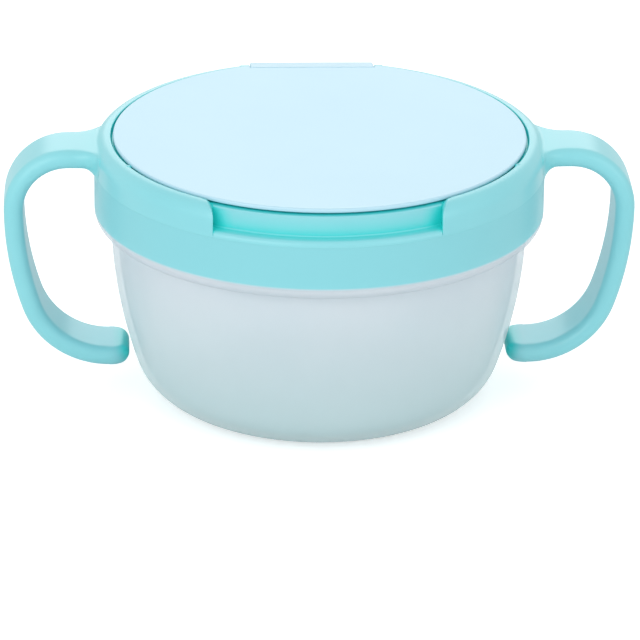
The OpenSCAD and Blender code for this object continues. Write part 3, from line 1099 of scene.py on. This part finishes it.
class SNACK_OT_soft_insert(bpy.types.Operator):
    """Build the soft insert: its rim and its flaps, each thinned where it leaves the rim."""
    bl_idname = "snack.soft_insert"
    bl_label = "Soft insert"

    def execute(self, context):
        """Makes the rim, and each flap as a separate strip, thinned to a groove near the rim."""
        scene = context.scene
        s = scene.snack_insert
        material = soft_elastomer(scene.snack_finish)
        rim = make_piece("soft_insert_rim", [insert_rim_shape(s)])
        finish_piece(rim, material, "soft_insert_rubber", "ring_body", "flap_rim")
        for index in range(FLAPS):
            name = "flap_%d" % (index + 1)
            turn = 2 * math.pi * index / FLAPS
            piece = make_piece("soft_" + name, [flap_shape(s, turn)])
            finish_piece(piece, material, "soft_insert_rubber", None, name)
            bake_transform(piece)
        return {"FINISHED"}


class SNACK_OT_lid(bpy.types.Operator):
    """Build the lid with its plug wall and its hinge tab."""
    bl_idname = "snack.lid"
    bl_label = "Lid"

    def execute(self, context):
        """Joins the disc, the wall under it and the tab into one moulding."""
        scene = context.scene
        s = scene.snack_lid
        half = s.tab_width / 2
        tab_round = 0.5 * MM
        disc = plate(lid_disc_outline(s), s.top - s.thickness, s.top, s.edge_round)
        tab = plate(lid_tab_outline(s), -half, half, tab_round, turn=ALONG_X)
        piece = make_piece("lid_with_tab", [disc, lid_plug_shape(s), tab])
        finish_piece(piece, pale_polypropylene(scene.snack_finish), "pale_lid_plastic", "lid_body", "lid")
        return {"FINISHED"}


class SNACK_OT_hinge_pin(bpy.types.Operator):
    """Give the hinge pin its finish."""
    bl_idname = "snack.hinge_pin"
    bl_label = "Hinge pin"

    def execute(self, context):
        """The pin's own solid is shown, with a new material."""
        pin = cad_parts["hinge_pin"]
        pin.data.materials.clear()
        pin.data.materials.append(turned_acetal(context.scene.snack_finish))
        return {"FINISHED"}


class SNACK_PT_sidebar(bpy.types.Panel):
    """Lists the operators in the order in which they run."""
    bl_idname = "SNACK_PT_sidebar"
    bl_label = "Snack container"
    bl_space_type = "VIEW_3D"
    bl_region_type = "UI"
    bl_category = "Snack container"

    def draw(self, context):
        """One button for each step."""
        for operator in OPERATORS:
            self.layout.operator(operator.bl_idname)


OPERATORS = (SNACK_OT_stage, SNACK_OT_bowl, SNACK_OT_handle_ring, SNACK_OT_soft_insert, SNACK_OT_lid,
             SNACK_OT_hinge_pin)
SETTINGS = {"snack_bowl": SnackBowlSizes, "snack_ring": SnackRingSizes, "snack_handle": SnackHandleSizes,
            "snack_lid": SnackLidSizes, "snack_insert": SnackInsertSizes, "snack_finish": SnackFinish,
            "snack_view": SnackView}


def register():
    """Makes the classes and the scene's settings known."""
    for group in SETTINGS.values():
        bpy.utils.register_class(group)
    for name, group in SETTINGS.items():
        setattr(bpy.types.Scene, name, PointerProperty(type=group))
    for operator in OPERATORS:
        bpy.utils.register_class(operator)
    bpy.utils.register_class(SNACK_PT_sidebar)


def unregister():
    """Takes them away again."""
    bpy.utils.unregister_class(SNACK_PT_sidebar)
    for operator in reversed(OPERATORS):
        bpy.utils.unregister_class(operator)
    for name, group in SETTINGS.items():
        delattr(bpy.types.Scene, name)
        bpy.utils.unregister_class(group)


def main():
    """Builds every piece."""
    register()
    bpy.ops.snack.stage()
    bpy.ops.snack.bowl()
    bpy.ops.snack.handle_ring()
    bpy.ops.snack.soft_insert()
    bpy.ops.snack.lid()
    bpy.ops.snack.hinge_pin()


if __name__ == "__main__":
    main()
